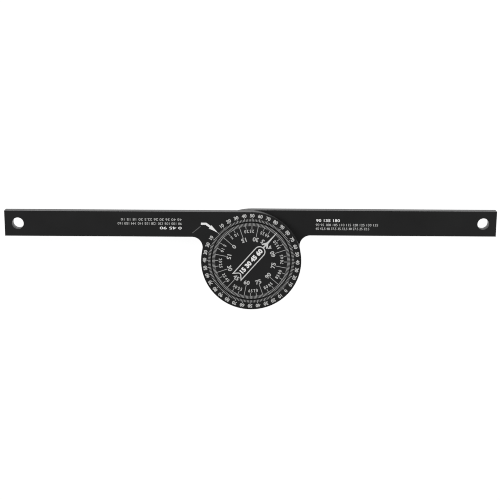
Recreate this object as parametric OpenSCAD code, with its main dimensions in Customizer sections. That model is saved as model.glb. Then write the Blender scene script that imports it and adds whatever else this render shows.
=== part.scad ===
// Woodworking protractor: two flat aluminium blades that pivot at a round
// head. The lower blade carries the base disc, the dial and its screws; the
// upper blade ends in the ring that turns between them. Both outer edges are
// tangent to the head, so at 180 degrees they lie in one straight line.
//
// Frame: origin on the pivot axis at the back face, X along the open blades,
// Y towards their measuring edges, Z up through the dial. Millimetres.

/* [Blades] */
// Reach of each blade from the pivot axis to its square end
blade_reach = 149.5; // [110:0.5:240]
// Width of each blade
blade_w = 15.6; // [12:0.1:19]
// Thickness of each blade, and of the head's disc and ring
blade_t = 5.5; // [4:0.25:7]
// Radius of the fillet where a blade runs into the head
neck_r = 6.5; // [3:0.5:9]
// Diameter of the hanging hole near each blade's end
hang_d = 7.1; // [4:0.1:9]
// Distance from a blade's end to the hole's centre
hang_inset = 8; // [6:0.5:14]

/* [Head] */
// Radius of the dial's face
dial_r = 24.2; // [22:0.1:28]
// Width of the ring's face round the dial
ring_w = 6.15; // [5.5:0.05:8]
// Thickness of the dial's rim, which holds the ring down
rim_t = 2; // [1.5:0.1:2.6]
// Overhang of the dial's rim beyond its hub, which the ring turns on
rim_over = 4.25; // [3.5:0.05:6]
// Radial gap between the dial's rim and the ring, seen as a dark line
rim_gap = 0.25; // [0.15:0.05:0.4]
// Edge break on the dial's rim and on the ring's mouth
edge_break = 0.15; // [0.05:0.05:0.3]

/* [Fits] */
// Radial clearance of the hub in the ring's bore
run_clear = 0.05; // [0.02:0.01:0.1]
// Axial clearance over each washer
face_clear = 0.05; // [0.02:0.01:0.1]
// Gap between the two blades, seen from the edge
layer_gap = 0.2; // [0.15:0.05:0.3]
// Thickness of the friction washer between the blades
friction_t = 0.3; // [0.3:0.05:0.5]
// Thickness of the slip washer under the dial's rim
slip_t = 0.15; // [0.1:0.05:0.3]
// Distance that each washer keeps from the walls beside it
washer_margin = 0.3; // [0.1:0.1:0.6]

/* [Screws] */
// Number of countersunk screws that hold the dial
screw_n = 4; // [3:1:6]
// Distance of the screws' axes from the hub's wall
screw_inset = 7.95; // [5:0.05:10]
// Nominal diameter of a screw
screw_d = 3; // [2.5:0.5:4]
// Length of a screw with its head
screw_len = 8; // [6:0.5:9]
// Diameter of a screw's head
screw_head_d = 5.6; // [5:0.1:7]
// Depth of a screw's head below the back face
screw_sink = 0.2; // [0:0.1:0.4]
// Clearance round each screw
screw_clear = 0.05; // [0.03:0.01:0.1]

/* [Scales] */
// Direction of the dial's pointer, from +X
pointer_az = 49; // [0:1:180]
// Thickness of the white marking
ink_t = 0.04; // [0.03:0.01:0.1]
// Angle between the finest graduation lines
tick_step = 2; // [1, 2, 5]
// Width of the finest graduation line
tick_w = 0.26; // [0.1:0.01:0.35]
// Width of the longer graduation lines
long_tick_w = 0.32; // [0.2:0.02:0.4]
// Distance of both scales from the edges between the dial and the ring
scale_margin = 0.4; // [0.3:0.05:0.6]
// Length of the ring's fine lines
ring_tick = 1.35; // [1:0.05:1.6]
// Length of the ring's ten-degree lines
ring_long_tick = 2.1; // [1.8:0.1:2.4]
// Length of the dial's finest lines
dial_tick = 1.8; // [1.2:0.1:2.2]
// Length of the dial's lines at its small figures
dial_mid_tick = 3.7; // [3:0.1:3.9]
// Length of the dial's lines at its large figures
dial_long_tick = 8.5; // [7:0.1:8.7]

/* [Hidden] */
$fn = 96;
eps = 0.5;                              // overshoot of a cutting tool
fillet_lap = 0.01;                      // how far the fillets pass tangent
flag_w = 6.5;                           // pointer's flag, between line centres
flag_clear = 4.25;                      // from the long lines to the flag
flag_tail = -14.5;                      // behind the flag's swallowtail
flag_notch = [-11.9, 1.5];              // notch: centre along u, radius
flag_line = 0.6;                        // width of the flag's outline

upper_z = blade_t + layer_gap;          // underside of the upper blade
face_z = upper_z + blade_t;             // face of the ring and the dial
rim_z = face_z - rim_t;                 // underside of the dial's rim
seat_z = rim_z - slip_t - face_clear;   // floor of the ring's recess
hub_r = dial_r - rim_over;
screw_pcd_r = hub_r - screw_inset;
bore_r = hub_r + run_clear;
recess_r = dial_r + rim_gap;
head_r = recess_r + ring_w;             // base disc and ring
groove_z = upper_z - face_clear - friction_t;
inner_y = head_r - blade_w;             // a blade's inner edge
dial_scale_r = dial_r - scale_margin;   // outer end of the dial's lines
ring_scale_r = recess_r + scale_margin; // inner end of the ring's lines
flag_tip = dial_scale_r - dial_long_tick - flag_clear;
flag_front = flag_tip - flag_w / 2;     // where the flag's round end starts

// ---- Blades -------------------------------------------------------------

// Outline shared by both blades, reaching along +X. The neck's fillet runs
// into the blade's inner edge and the head's circle, a hair past tangent, so
// that its ends are clean crossings.
module blade_outline() {
    neck_y = inner_y - neck_r + fillet_lap;
    neck_x = sqrt(pow(head_r + neck_r - fillet_lap, 2) - pow(neck_y, 2));
    difference() {
        union() {
            circle(r = head_r);
            translate([0, inner_y]) square([blade_reach, blade_w]);
            difference() {
                polygon([[0, 0], [neck_x, neck_y],
                         [neck_x, inner_y + 1], [0, inner_y + 1]]);
                translate([neck_x, neck_y]) circle(r = neck_r);
            }
        }
        translate([blade_reach - hang_inset, inner_y + blade_w / 2])
            circle(d = hang_d);
    }
}

module lower_blade() {
    color([0.15, 0.15, 0.16]) difference() {
        linear_extrude(blade_t) blade_outline();
        // groove that keeps the friction washer in place
        translate([0, 0, groove_z]) linear_extrude(blade_t) difference() {
            circle(r = head_r - 2 * washer_margin);
            circle(r = bore_r);
        }
        at_screws() screw_body(screw_clear, blade_t + eps);
    }
}

module upper_blade() {
    color([0.13, 0.13, 0.14]) difference() {
        translate([0, 0, upper_z]) linear_extrude(blade_t)
            mirror([1, 0]) blade_outline();
        translate([0, 0, upper_z - eps])
            cylinder(r = bore_r, h = blade_t + 2 * eps);
        translate([0, 0, seat_z]) cylinder(r = recess_r, h = blade_t);
        translate([0, 0, face_z - edge_break]) mouth_chamfer();
    }
}

// Cone that breaks the edge of the ring's mouth.
module mouth_chamfer() {
    rotate_extrude() polygon([
        [0, 0], [recess_r, 0], [recess_r + edge_break + eps, edge_break + eps],
        [0, edge_break + eps]]);
}

// ---- Dial, washers and screws --------------------------------------------

module dial() {
    hub_h = rim_z - blade_t;
    color([0.14, 0.14, 0.15]) difference() {
        translate([0, 0, blade_t]) rotate_extrude() polygon([
            [0, 0], [hub_r, 0], [hub_r, hub_h], [dial_r, hub_h],
            [dial_r, hub_h + rim_t - edge_break],
            [dial_r - edge_break, hub_h + rim_t], [0, hub_h + rim_t]]);
        // blind tapped holes, a little deeper than the screws
        at_screws() cylinder(d = screw_d + 2 * screw_clear,
                             h = screw_sink + screw_len + screw_clear * 4);
    }
}

module washer(inner, outer, z, t) {
    translate([0, 0, z]) linear_extrude(t) difference() {
        circle(r = outer);
        circle(r = inner);
    }
}

module friction_washer() {
    color([0.75, 0.72, 0.62])
        washer(bore_r + washer_margin, head_r - 3 * washer_margin,
               groove_z, friction_t);
}

module slip_washer() {
    color([0.75, 0.72, 0.62])
        washer(bore_r + washer_margin, recess_r - washer_margin,
               seat_z, slip_t);
}

module at_screws() {
    for (i = [0 : screw_n - 1])
        rotate(pointer_az + (i + 0.5) * 360 / screw_n)
            translate([screw_pcd_r, 0, 0]) children();
}

// Countersunk screw seen from the back; grow is the clearance of its hole.
module screw_body(grow, reach) {
    head_h = (screw_head_d - screw_d) / 2;
    head_r = screw_head_d / 2 + grow;
    rotate_extrude() polygon([
        [0, -eps], [head_r, -eps], [head_r, screw_sink],
        [head_r - head_h, screw_sink + head_h],
        [head_r - head_h, reach], [0, reach]]);
}

module dial_screws() {
    color("silver") at_screws() difference() {
        screw_body(0, screw_sink + screw_len);
        translate([0, 0, -2 * eps])
            cylinder(d = screw_head_d + 1, h = screw_sink + 2 * eps);
        // hexagon socket
        translate([0, 0, -eps])
            cylinder(d = screw_d * 0.77, h = screw_sink + eps + screw_d * 0.4,
                     $fn = 6);
    }
}

// ---- White marking --------------------------------------------------------

module ink() {
    translate([0, 0, face_z]) linear_extrude(ink_t) children();
}

// Radial lines every step degrees; those at a multiple of skip are left out.
module rays(inner, outer, width, step, skip) {
    for (a = [0 : step : 359.9])
        if (a % skip != 0)
            rotate(pointer_az + a)
                translate([inner, -width / 2]) square([outer - inner, width]);
}

module dial_graduations() {
    color("white") ink() {
        rays(dial_scale_r - dial_tick, dial_scale_r, tick_w, tick_step, 10);
        rays(dial_scale_r - dial_mid_tick, dial_scale_r, long_tick_w, 10, 30);
        // the line under the pointer is the needle itself
        rays(dial_scale_r - dial_long_tick, dial_scale_r, long_tick_w, 30, 360);
    }
}

module ring_graduations() {
    color("white") ink() {
        rays(ring_scale_r, ring_scale_r + ring_tick, tick_w, tick_step, 10);
        for (a = [0 : 10 : 350])
            rotate(pointer_az + a)
                translate([ring_scale_r, -long_tick_w / 2])
                    square([ring_long_tick, long_tick_w]);
    }
}

// Swallowtailed flag with a round front; inset moves its edge inwards.
module flag(inset) {
    half = flag_w / 2 - inset;
    notch_r = flag_notch[1] + inset;
    k = notch_r * sqrt(0.5);
    reach = flag_w;
    difference() {
        union() {
            translate([flag_tail, -half])
                square([flag_front - flag_tail, 2 * half]);
            translate([flag_front, 0]) circle(r = half);
        }
        translate([flag_notch[0], 0]) {
            circle(r = notch_r);
            polygon([[k, k], [k - reach, k + reach],
                     [k - reach, -k - reach], [k, -k]]);
        }
    }
}

module dial_pointer() {
    head = [[0, 0.45], [2.5, 0.45], [1.0, 1.6], [1.1, 2.15], [1.8, 2.05],
            [4.1, 0.58], [7, 0.42], [dial_scale_r - flag_tip, 0.17]];
    color("white") ink() rotate(pointer_az) {
        difference() {
            flag(-flag_line / 2);
            flag(flag_line / 2);
        }
        translate([flag_tip, 0]) polygon(concat(
            [for (p = head) [p[0], -p[1]]],
            [for (i = [len(head) - 1 : -1 : 0]) head[i]]));
    }
}

// The ring's zero, a quarter turn from the pointer, where the line ends.
module at_zero() {
    translate((ring_scale_r + ring_long_tick)
              * [cos(pointer_az + 90), sin(pointer_az + 90)]) children();
}

// Bent arrow on the upper blade, from its tail to its tip at the zero.
module blade_arrow() {
    color("white") ink() at_zero() polygon([
        [-10.2, 4.9], [-7.5, 4.9], [-5.0, 3.2], [-5.5, 2.7], [-2.3, 1.2],
        [0, 0], [-2.1, 2.5], [-3.8, 4.6], [-4.2, 4.2], [-7.0, 6.2],
        [-10.2, 6.2]]);
}

module leader_line() {
    color([0.45, 0.45, 0.45]) ink() at_zero() polygon([
        [-15.6, -0.1], [-15.3, -0.4], [-10.3, 3.7], [-10.6, 4.1]]);
}

lower_blade();
upper_blade();
dial();
friction_washer();
slip_washer();
dial_screws();
dial_graduations();
dial_pointer();
ring_graduations();
blade_arrow();
leader_line();
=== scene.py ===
# %% [markdown]
# # A woodworking protractor
# Two black aluminium blades turn on a round head. A dial with white scales is
# screwed to the lower blade and lies flush in the upper blade's ring. The
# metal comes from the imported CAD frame; this lesson gives it its finish, adds
# the printed figures, and sets the camera and the light.

# %% The frame and the sizes
import bpy
import math
from mathutils import Matrix, Vector


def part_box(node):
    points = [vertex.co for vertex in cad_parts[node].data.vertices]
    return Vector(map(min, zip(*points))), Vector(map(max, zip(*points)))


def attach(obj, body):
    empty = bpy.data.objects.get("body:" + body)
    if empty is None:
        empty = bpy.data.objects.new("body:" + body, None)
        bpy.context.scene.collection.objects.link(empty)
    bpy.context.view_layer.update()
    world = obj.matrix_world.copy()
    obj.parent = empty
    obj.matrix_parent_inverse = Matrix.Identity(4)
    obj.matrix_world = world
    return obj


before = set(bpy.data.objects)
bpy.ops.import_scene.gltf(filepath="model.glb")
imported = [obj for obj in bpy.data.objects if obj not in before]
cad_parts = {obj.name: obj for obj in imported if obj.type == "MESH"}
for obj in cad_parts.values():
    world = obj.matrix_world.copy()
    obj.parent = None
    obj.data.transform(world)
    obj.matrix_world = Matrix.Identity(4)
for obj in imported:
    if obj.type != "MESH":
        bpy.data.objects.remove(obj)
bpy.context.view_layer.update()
MM = 0.001

face_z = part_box("dial")[1][2]             # face of the dial and the ring
lower_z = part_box("lower_blade")[1][2]     # face of the lower blade
ink_t = 0.04 * MM                         # thickness of the white marking
pointer_az = 49.0                         # direction of the dial's pointer
zero_az = pointer_az + 90                 # direction of the scales' zero
print("face heights in mm:", face_z / MM, lower_z / MM)

# %% [markdown]
# ## The camera
# The photograph looks almost straight down on the dial, from a little beyond
# the measuring edges, so those edges show as thin light strips. A long lens
# three quarters of a metre away keeps the blades nearly parallel. The camera
# aims a little above the pivot, because the head sits low in the frame, and it
# is rolled by less than half a degree.

# %% Camera
cam_distance = 0.74
cam_tilt = math.radians(14.34)            # from straight above, towards +Y
cam_roll = math.radians(0.35)
frame_width = 305.05 * MM                 # what the frame spans at the pivot
sensor = 36.0

pivot = Vector((0, 0, face_z))
aim = Vector((-0.74 * MM, 7.04 * MM, face_z))
eye = pivot + cam_distance * Vector((0, math.sin(cam_tilt), math.cos(cam_tilt)))

cam_data = bpy.data.cameras.new("camera")
cam_data.sensor_width = sensor
cam_data.lens = sensor * cam_distance / frame_width
camera = bpy.data.objects.new("camera", cam_data)
bpy.context.scene.collection.objects.link(camera)
bpy.context.scene.camera = camera

back = (eye - aim).normalized()           # the camera looks along -Z
right = Vector((0, 1, 0)).cross(back).normalized()
up = back.cross(right)
turn = Matrix((right, up, back)).transposed() @ Matrix.Rotation(cam_roll, 3, "Z")
camera.matrix_world = Matrix.Translation(eye) @ turn.to_4x4()
print("lens in mm:", round(cam_data.lens, 1))

# %% [markdown]
# ## Light and floor
# The tool was photographed on seamless white. A wide key light from the upper
# left and a weaker one from the right stand well away from the direction that
# the faces mirror, so the black stays black. The floor is a pale matt sheet
# that takes a soft shadow. For the camera and for reflections it also glows
# to white, which is what the polished-looking edges show. A narrow pixel filter
# keeps the fine print as crisp as in the photograph.

# %% Floor, world and lamps
scene = bpy.context.scene
scene.view_settings.view_transform = "Standard"
scene.cycles.filter_width = 1.0           # in pixels

floor_shade = 0.8
floor_glow = 1.08                         # strength seen by camera and mirrors
glow_share = 0.9                          # of what those rays see
floor_drop = -0.02 * MM                   # just under the lower blade
floor_half = 3.0
world_level = 0.22


def new_material(name):
    mat = bpy.data.materials.new(name)
    mat.use_nodes = True
    mat.node_tree.nodes.clear()
    return mat, mat.node_tree.nodes, mat.node_tree.links


floor_mat, nodes, links = new_material("white_sheet")
out = nodes.new("ShaderNodeOutputMaterial")
diffuse = nodes.new("ShaderNodeBsdfDiffuse")
diffuse.inputs["Color"].default_value = (floor_shade,) * 3 + (1,)
glow = nodes.new("ShaderNodeEmission")
path = nodes.new("ShaderNodeLightPath")
seen = nodes.new("ShaderNodeMath"); seen.operation = "MAXIMUM"
seen_too = nodes.new("ShaderNodeMath"); seen_too.operation = "MAXIMUM"
glow_level = nodes.new("ShaderNodeMath"); glow_level.operation = "MULTIPLY"
glow_level.inputs[1].default_value = glow_share
glow.inputs["Strength"].default_value = floor_glow
both = nodes.new("ShaderNodeMixShader")
links.new(path.outputs["Is Camera Ray"], seen.inputs[0])
links.new(path.outputs["Is Glossy Ray"], seen.inputs[1])
links.new(seen.outputs[0], seen_too.inputs[0])
links.new(path.outputs["Is Transmission Ray"], seen_too.inputs[1])
links.new(seen_too.outputs[0], glow_level.inputs[0])
links.new(glow_level.outputs[0], both.inputs[0])
links.new(diffuse.outputs[0], both.inputs[1])
links.new(glow.outputs[0], both.inputs[2])
links.new(both.outputs[0], out.inputs["Surface"])

floor_mesh = bpy.data.meshes.new("floor")
floor_mesh.from_pydata(
    [(x * floor_half, y * floor_half, floor_drop)
     for x, y in ((-1, -1), (1, -1), (1, 1), (-1, 1))], [], [(0, 1, 2, 3)])
floor_mesh.materials.append(floor_mat)
floor = bpy.data.objects.new("floor", floor_mesh)
scene.collection.objects.link(floor)

world = bpy.data.worlds.new("studio")
scene.world = world
world.use_nodes = True
world.node_tree.nodes["Background"].inputs["Color"].default_value = (1, 1, 1, 1)
world.node_tree.nodes["Background"].inputs["Strength"].default_value = world_level


def soft_light(name, place, size, watts):
    data = bpy.data.lights.new(name, "AREA")
    data.shape = "DISK"
    data.size = size
    data.energy = watts
    lamp = bpy.data.objects.new(name, data)
    lamp.location = place
    lamp.rotation_euler = (-Vector(place)).to_track_quat("-Z", "Y").to_euler()
    scene.collection.objects.link(lamp)


soft_light("key", (-0.95, 0.55, 0.62), 0.6, 15.0)
soft_light("fill", (0.95, 0.35, 0.75), 0.8, 7.0)

# %% [markdown]
# ## Finishes
# The blades and the dial are aluminium with a satin black anodised skin: a
# dark dyed oxide under a clear, slightly rough surface. A dielectric shader
# gives that, because the metal below no longer shows. The skin isn't quite
# even, so broad noise moves its colour and roughness a little, and a fine
# grain from the bead blasting tilts the normal.

# %% Anodised metal


def principled(nodes, links):
    out = nodes.new("ShaderNodeOutputMaterial")
    shader = nodes.new("ShaderNodeBsdfPrincipled")
    links.new(shader.outputs[0], out.inputs["Surface"])
    return shader


def noise(nodes, links, coords, scale, detail=2.0):
    node = nodes.new("ShaderNodeTexNoise")
    node.inputs["Scale"].default_value = scale
    node.inputs["Detail"].default_value = detail
    links.new(coords.outputs["Object"], node.inputs["Vector"])
    return node


def spread(nodes, links, source, low, high):
    node = nodes.new("ShaderNodeMapRange")
    node.inputs["From Min"].default_value = 0.3
    node.inputs["From Max"].default_value = 0.7
    node.inputs["To Min"].default_value = low
    node.inputs["To Max"].default_value = high
    links.new(source, node.inputs["Value"])
    return node.outputs["Result"]


def tint(nodes, links, level, shade):
    node = nodes.new("ShaderNodeVectorMath")
    node.operation = "SCALE"
    node.inputs[0].default_value = shade
    links.new(level, node.inputs["Scale"])
    return node.outputs[0]


cloud_scale, grain_scale = 45, 5200       # repeats per metre
grain_tilt, grain_height = 0.25, 0.03 * MM


def anodised(name, level, rough):
    mat, nodes, links = new_material(name)
    shader = principled(nodes, links)
    coords = nodes.new("ShaderNodeTexCoord")
    cloud = noise(nodes, links, coords, cloud_scale, 3)
    grain = noise(nodes, links, coords, grain_scale, 2)
    shade = spread(nodes, links, cloud.outputs[0], 0.85 * level, 1.15 * level)
    links.new(tint(nodes, links, shade, (1.0, 1.0, 1.03)),
              shader.inputs["Base Color"])
    links.new(spread(nodes, links, cloud.outputs[0], rough - 0.02, rough + 0.03),
              shader.inputs["Roughness"])
    bump = nodes.new("ShaderNodeBump")
    bump.inputs["Strength"].default_value = grain_tilt
    bump.inputs["Distance"].default_value = grain_height
    links.new(grain.outputs[0], bump.inputs["Height"])
    links.new(bump.outputs[0], shader.inputs["Normal"])
    return mat


blade_black = anodised("blade_black", 0.006, 0.40)
dial_black = anodised("dial_black", 0.006, 0.42)

# %% [markdown]
# The marking is matt ink. It is nearly plain, but a faint mottle keeps it
# from looking cut out. Fine lines and small figures get greyer inks: at the
# photograph's size they fill only part of a pixel, and plain white would come
# out too strong. The screws are zinc-plated steel, unevenly dulled, and the two
# washers are cream low-friction plastic; they show from the back and hardly
# at all in the gap between the blades.

# %% Ink, steel and plastic


def matt(name, shade, low, high, scale, rough):
    mat, nodes, links = new_material(name)
    shader = principled(nodes, links)
    coords = nodes.new("ShaderNodeTexCoord")
    mottle = noise(nodes, links, coords, scale, 3)
    links.new(tint(nodes, links,
                   spread(nodes, links, mottle.outputs[0], low, high), shade),
              shader.inputs["Base Color"])
    shader.inputs["Roughness"].default_value = rough
    return mat


ink_look = {"low": 0.93, "high": 1.0, "scale": 900, "rough": 0.6}
ink_white = matt("marking_white", (0.86, 0.86, 0.85), **ink_look)
ink_fine = matt("marking_fine", (0.40, 0.40, 0.395), **ink_look)
ink_soft = matt("marking_soft", (0.52, 0.52, 0.51), **ink_look)
ink_thin = matt("marking_thin", (0.64, 0.64, 0.63), **ink_look)
ink_grey = matt("marking_grey", (0.11, 0.11, 0.11), **{**ink_look, "low": 0.9})
washer_cream = matt("washer_plastic", (0.72, 0.69, 0.6), 0.92, 1.0, 400, 0.45)

screw_steel, nodes, links = new_material("screw_steel")
shader = principled(nodes, links)
shader.inputs["Metallic"].default_value = 1.0
coords = nodes.new("ShaderNodeTexCoord")
stain = noise(nodes, links, coords, 700, 3)
links.new(tint(nodes, links, spread(nodes, links, stain.outputs[0], 0.85, 1.0),
               (0.6, 0.6, 0.62)), shader.inputs["Base Color"])
links.new(spread(nodes, links, stain.outputs[0], 0.25, 0.4),
          shader.inputs["Roughness"])

# %% [markdown]
# ## The metal pieces
# The CAD nodes already have the right shape. Their meshes are loose
# triangles, so on the blades and the screws a Weld joins them, a planar
# Decimate makes whole faces of them, and a narrow Bevel breaks each sharp
# edge as deburring does on the real blades. A light line along an edge is
# what makes the black form read.

# %% Blades, dial, screws and washers
finishes = {
    "lower_blade": blade_black, "upper_blade": blade_black,
    "dial": dial_black, "dial_screws": screw_steel,
    "friction_washer": washer_cream, "slip_washer": washer_cream,
    "dial_graduations": ink_fine, "dial_pointer": ink_thin,
    "ring_graduations": ink_fine, "blade_arrow": ink_white,
    "leader_line": ink_grey,
}
edge_breaks = {"lower_blade": 0.1 * MM, "upper_blade": 0.1 * MM,
               "dial_screws": 0.06 * MM}

for name, mat in finishes.items():
    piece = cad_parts[name]
    for slot in piece.material_slots:
        slot.material = mat
    width = edge_breaks.get(name)
    if width:
        weld = piece.modifiers.new("weld", "WELD")
        weld.merge_threshold = 0.001 * MM
        plane = piece.modifiers.new("plane", "DECIMATE")
        plane.decimate_type = "DISSOLVE"
        plane.angle_limit = math.radians(0.5)
        bevel = piece.modifiers.new("edge_break", "BEVEL")
        bevel.width = width
        bevel.segments = 2
        bevel.limit_method = "ANGLE"
        bevel.angle_limit = math.radians(40)
        bevel.harden_normals = True
print("finished CAD pieces:", len(finishes))

# %% [markdown]
# ## Figures round the head
# Three rings of figures count up to 90 and back, twice round. One Geometry
# Nodes tree makes them all: a repeat zone turns its step number into a value,
# the value into outlines, and lays them at their angle. Inputs say how far
# apart they are, what each step counts, how wide, bold and spaced the digits
# are, and which way their tops point.

# %% The figure tree


def figure_tree():
    tree = bpy.data.node_groups.new("ring_of_figures", "GeometryNodeTree")
    wants = (("Count", "Int"), ("Angle Step", "Float"), ("Value Step", "Float"),
             ("Drop Index", "Int"), ("Drop Every", "Int"), ("Radius", "Float"),
             ("Height", "Float"), ("Width", "Float"), ("Weight", "Float"),
             ("Spacing", "Float"), ("Tops Outward", "Float"),
             ("Zero Angle", "Float"), ("Face Z", "Float"),
             ("Thickness", "Float"), ("Ink", "Material"))
    for label, kind in wants:
        tree.interface.new_socket(label, in_out="INPUT",
                                  socket_type="NodeSocket" + kind)
    tree.interface.new_socket("Geometry", in_out="OUTPUT",
                              socket_type="NodeSocketGeometry")
    nodes, links = tree.nodes, tree.links
    given = nodes.new("NodeGroupInput")
    result = nodes.new("NodeGroupOutput")

    def calc(op, a, b=None, c=None):
        node = nodes.new("ShaderNodeMath")
        node.operation = op
        for slot, value in zip(node.inputs, (a, b, c)):
            if value is None:
                continue
            if isinstance(value, (int, float)):
                slot.default_value = value
            else:
                links.new(value, slot)
        return node.outputs[0]

    def vector(x, y, z):
        node = nodes.new("ShaderNodeCombineXYZ")
        for slot, value in zip(node.inputs, (x, y, z)):
            if isinstance(value, (int, float)):
                slot.default_value = value
            else:
                links.new(value, slot)
        return node.outputs[0]

    start = nodes.new("GeometryNodeRepeatInput")
    end = nodes.new("GeometryNodeRepeatOutput")
    start.pair_with_output(end)
    links.new(given.outputs["Count"], start.inputs["Iterations"])
    index = start.outputs["Iteration"]

    # the value counts up to 90 and back
    total = calc("MULTIPLY", index, given.outputs["Value Step"])
    counted = calc("MODULO", total, 180)
    value = calc("SUBTRACT", 90, calc("ABSOLUTE", calc("SUBTRACT", counted, 90)))
    text = nodes.new("FunctionNodeValueToString")
    links.new(value, text.inputs["Value"])
    outline = nodes.new("GeometryNodeStringToCurves")
    outline.inputs["Size"].default_value = 1.0
    links.new(text.outputs[0], outline.inputs["String"])
    links.new(given.outputs["Spacing"], outline.inputs["Character Spacing"])
    real = nodes.new("GeometryNodeRealizeInstances")
    links.new(outline.outputs["Curve Instances"], real.inputs[0])
    # move each outline out along its normal, which makes the strokes bolder
    across = nodes.new("ShaderNodeVectorMath")
    across.operation = "CROSS_PRODUCT"
    across.inputs[1].default_value = (0, 0, 1)
    links.new(nodes.new("GeometryNodeInputTangent").outputs[0], across.inputs[0])
    shift = nodes.new("ShaderNodeVectorMath")
    shift.operation = "SCALE"
    links.new(across.outputs[0], shift.inputs[0])
    links.new(given.outputs["Weight"], shift.inputs["Scale"])
    bolder = nodes.new("GeometryNodeSetPosition")
    links.new(real.outputs[0], bolder.inputs["Geometry"])
    links.new(shift.outputs[0], bolder.inputs["Offset"])
    smooth = nodes.new("GeometryNodeSetSplineResolution")
    smooth.inputs["Resolution"].default_value = 4
    links.new(bolder.outputs[0], smooth.inputs["Geometry"])
    fill = nodes.new("GeometryNodeFillCurve")
    fill.mode = "NGONS"
    links.new(smooth.outputs[0], fill.inputs["Curve"])

    # centre each figure on its own box and scale it to the height asked
    box = nodes.new("GeometryNodeBoundBox")
    links.new(fill.outputs[0], box.inputs[0])
    low = nodes.new("ShaderNodeSeparateXYZ")
    high = nodes.new("ShaderNodeSeparateXYZ")
    links.new(box.outputs["Min"], low.inputs[0])
    links.new(box.outputs["Max"], high.inputs[0])
    size = calc("DIVIDE", given.outputs["Height"],
                calc("SUBTRACT", high.outputs["Y"], low.outputs["Y"]))
    wide = calc("MULTIPLY", size, given.outputs["Width"])
    mid = [calc("MULTIPLY", calc("ADD", low.outputs[axis], high.outputs[axis]),
                calc("MULTIPLY", scale, -0.5))
           for axis, scale in (("X", wide), ("Y", size))]
    centred = nodes.new("GeometryNodeTransform")
    links.new(fill.outputs[0], centred.inputs["Geometry"])
    links.new(vector(mid[0], mid[1], 0), centred.inputs["Translation"])
    links.new(vector(wide, size, size), centred.inputs["Scale"])

    # place it: angles run clockwise from the zero
    angle = calc("SUBTRACT", given.outputs["Zero Angle"],
                 calc("MULTIPLY", index, given.outputs["Angle Step"]))
    quarter = calc("MULTIPLY", given.outputs["Tops Outward"], math.pi / 2)
    place = nodes.new("GeometryNodeTransform")
    links.new(centred.outputs[0], place.inputs["Geometry"])
    links.new(vector(0, 0, calc("SUBTRACT", angle, quarter)),
              place.inputs["Rotation"])
    radius = given.outputs["Radius"]
    links.new(vector(calc("MULTIPLY", radius, calc("COSINE", angle)),
                     calc("MULTIPLY", radius, calc("SINE", angle)),
                     given.outputs["Face Z"]), place.inputs["Translation"])

    # leave out one index, and every so many
    apart = calc("GREATER_THAN", calc("ABSOLUTE", calc(
        "SUBTRACT", index, given.outputs["Drop Index"])), 0.5)
    every = calc("MAXIMUM", given.outputs["Drop Every"], 1)
    over = calc("GREATER_THAN", calc("MODULO", index, every), 0.5)
    free = calc("LESS_THAN", given.outputs["Drop Every"], 0.5)
    keep = calc("MULTIPLY", apart, calc("MAXIMUM", over, free))
    pick = nodes.new("GeometryNodeSwitch")
    pick.input_type = "GEOMETRY"
    links.new(keep, pick.inputs["Switch"])
    links.new(place.outputs[0], pick.inputs["True"])
    join = nodes.new("GeometryNodeJoinGeometry")
    links.new(start.outputs["Geometry"], join.inputs[0])
    links.new(pick.outputs[0], join.inputs[0])
    links.new(join.outputs[0], end.inputs["Geometry"])

    # give the flat figures their thickness and close them below
    raised = nodes.new("GeometryNodeExtrudeMesh")
    raised.mode = "FACES"
    raised.inputs["Individual"].default_value = False
    links.new(end.outputs["Geometry"], raised.inputs["Mesh"])
    links.new(vector(0, 0, 1), raised.inputs["Offset"])
    links.new(given.outputs["Thickness"], raised.inputs["Offset Scale"])
    below = nodes.new("GeometryNodeFlipFaces")
    links.new(end.outputs["Geometry"], below.inputs[0])
    closed = nodes.new("GeometryNodeJoinGeometry")
    links.new(raised.outputs["Mesh"], closed.inputs[0])
    links.new(below.outputs[0], closed.inputs[0])
    merged = nodes.new("GeometryNodeMergeByDistance")
    merged.inputs["Distance"].default_value = 0.002 * MM
    links.new(closed.outputs[0], merged.inputs["Geometry"])
    whole = nodes.new("GeometryNodeRealizeInstances")
    links.new(merged.outputs[0], whole.inputs[0])
    inked = nodes.new("GeometryNodeSetMaterial")
    links.new(whole.outputs[0], inked.inputs["Geometry"])
    links.new(given.outputs["Ink"], inked.inputs["Material"])
    links.new(inked.outputs[0], result.inputs[0])
    return tree


figures = figure_tree()
sockets = {item.name: item.identifier for item in figures.interface.items_tree
           if item.in_out == "INPUT"}
print("figure tree:", len(figures.nodes), "nodes")

# %% [markdown]
# A ring of figures is the tree on an empty mesh with its inputs set. The
# evaluated result becomes a plain mesh, and the host goes away.

# %% Rings of figures


def bake(name, host):
    graph = bpy.context.evaluated_depsgraph_get()
    mesh = bpy.data.meshes.new_from_object(host.evaluated_get(graph),
                                           depsgraph=graph)
    mesh.name = name
    bpy.data.objects.remove(host)
    piece = bpy.data.objects.new(name, mesh)
    scene.collection.objects.link(piece)
    return piece


def ring_of_figures(name, body, **inputs):
    host = bpy.data.objects.new(name + "_host", bpy.data.meshes.new("host"))
    scene.collection.objects.link(host)
    mod = host.modifiers.new("figures", "NODES")
    mod.node_group = figures
    values = {"Drop Index": -1, "Drop Every": 0, "Spacing": 1.0,
              "Zero Angle": math.radians(zero_az),
              "Face Z": face_z, "Thickness": ink_t, "Ink": ink_white}
    values.update({key.replace("_", " ").title(): value
                   for key, value in inputs.items()})
    for label, value in values.items():
        mod[sockets[label]] = value
    piece = bake(name, host)
    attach(piece, body)
    print(name, len(piece.data.polygons), "faces")
    return piece


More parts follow.
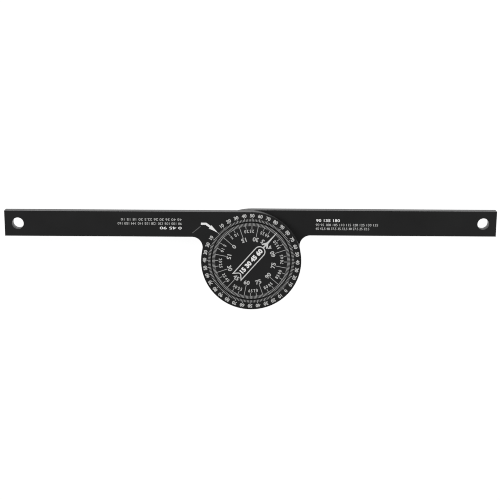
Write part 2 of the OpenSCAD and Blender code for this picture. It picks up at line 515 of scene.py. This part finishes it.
outward, inward = 1.0, -1.0
ten = math.radians(10)
ring_of_figures("ring_figures", "upper_arm", count=36, angle_step=ten,
                value_step=10.0, drop_index=0, radius=28.4 * MM,
                height=2.25 * MM, width=1.0, weight=0.05, ink=ink_soft,
                tops_outward=outward)
ring_of_figures("dial_small_figures", "lower_arm", count=36, angle_step=ten,
                value_step=5.0, drop_every=3, radius=18.75 * MM,
                height=2.0 * MM, width=0.85, weight=0.035, spacing=1.35,
                ink=ink_soft, tops_outward=inward)
ring_of_figures("dial_large_figures", "lower_arm", count=12,
                angle_step=3 * ten, value_step=15.0, drop_index=3,
                radius=13.8 * MM, height=2.7 * MM, width=1.05, weight=0.035,
                ink=ink_soft, tops_outward=inward)

# %% [markdown]
# ## Print that isn't on a ring
# The needle passes through one of the large figures, so its two digits stand
# apart on either side. The flag and the blades carry plain numbers: rows of
# corner angles over the saw settings that go with them. Each is a text object
# made into a mesh, then fitted to its place.

# %% Lines of print


def print_line(name, body, words, height, centre, z, turn_deg=0.0,
               width=None, weight=0.0, ink=ink_white):
    curve = bpy.data.curves.new(name, "FONT")
    curve.body = words
    curve.offset = weight
    curve.resolution_u = 3
    curve.extrude = 0.5
    host = bpy.data.objects.new(name + "_host", curve)
    scene.collection.objects.link(host)
    piece = bake(name, host)
    mesh = piece.data
    low = [min(v.co[k] for v in mesh.vertices) for k in range(3)]
    high = [max(v.co[k] for v in mesh.vertices) for k in range(3)]
    tall = height * MM / (high[1] - low[1])
    wide = width * MM / (high[0] - low[0]) if width else tall
    middle = Vector([(a + b) / 2 for a, b in zip(low, high)])
    mesh.transform(
        Matrix.Translation((centre[0] * MM, centre[1] * MM, z + ink_t / 2))
        @ Matrix.Rotation(math.radians(turn_deg), 4, "Z")
        @ Matrix.Diagonal((wide, tall, ink_t / (high[2] - low[2]), 1))
        @ Matrix.Translation(-middle))
    mesh.materials.clear()
    mesh.materials.append(ink)
    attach(piece, body)
    return piece


def on_pointer(u, v):
    """A point along (u) and across (v) the pointer, in millimetres."""
    c, s = (f(math.radians(pointer_az)) for f in (math.cos, math.sin))
    return (u * c - v * s, u * s + v * c)


for name, digit, across in (("split_four", "4", -3.0), ("split_five", "5", 3.0)):
    print_line(name, "lower_arm", digit, 2.7, on_pointer(13.9, across), face_z,
               turn_deg=pointer_az + 90, weight=0.035, ink=ink_soft)
print_line("flag_numbers", "lower_arm", "15 30 45 60", 3.2, on_pointer(0.1, 0),
           face_z, turn_deg=pointer_az, width=18.8, weight=0.05)

# %% [markdown]
# The blades' rows are read with the tool held either way up, so the upper
# blade's are turned half round.

# %% Rows on the blades
rows = (
    # name, body, words, height, centre, width, face, turn, weight, ink
    ("lower_heading", "lower_arm", "90 135 180", 1.8, (46.75, 24.4), 14.5,
     lower_z, 0, 0.02, ink_white),
    ("lower_corners", "lower_arm", "90 95 100 105 110 115 120 125 130 135", 1.5,
     (58.3, 21.7), 38.0, lower_z, 0, 0.0, ink_thin),
    ("lower_settings", "lower_arm", "45 42.5 40 37.5 35 32.5 30 27.5 25 22.5",
     1.5, (55.6, 19.3), 32.7, lower_z, 0, 0.0, ink_thin),
    ("upper_heading", "upper_arm", "0 45 90", 1.7, (-48.85, 20.45), 13.3,
     face_z, 180, 0.02, ink_white),
    ("upper_corners", "upper_arm", "90 100 108 120 128 135 140 144 150 160",
     1.5, (-61.6, 23.15), 38.8, face_z, 180, 0.0, ink_soft),
    ("upper_settings", "upper_arm", "45 40 36 30 26 22.5 20 18 15 10", 1.5,
     (-60.6, 25.65), 36.8, face_z, 180, 0.0, ink_soft),
)
for name, body, words, height, centre, width, z, turn_deg, weight, ink in rows:
    print_line(name, body, words, height, centre, z, turn_deg, width, weight, ink)
print("rows of numbers:", len(rows))
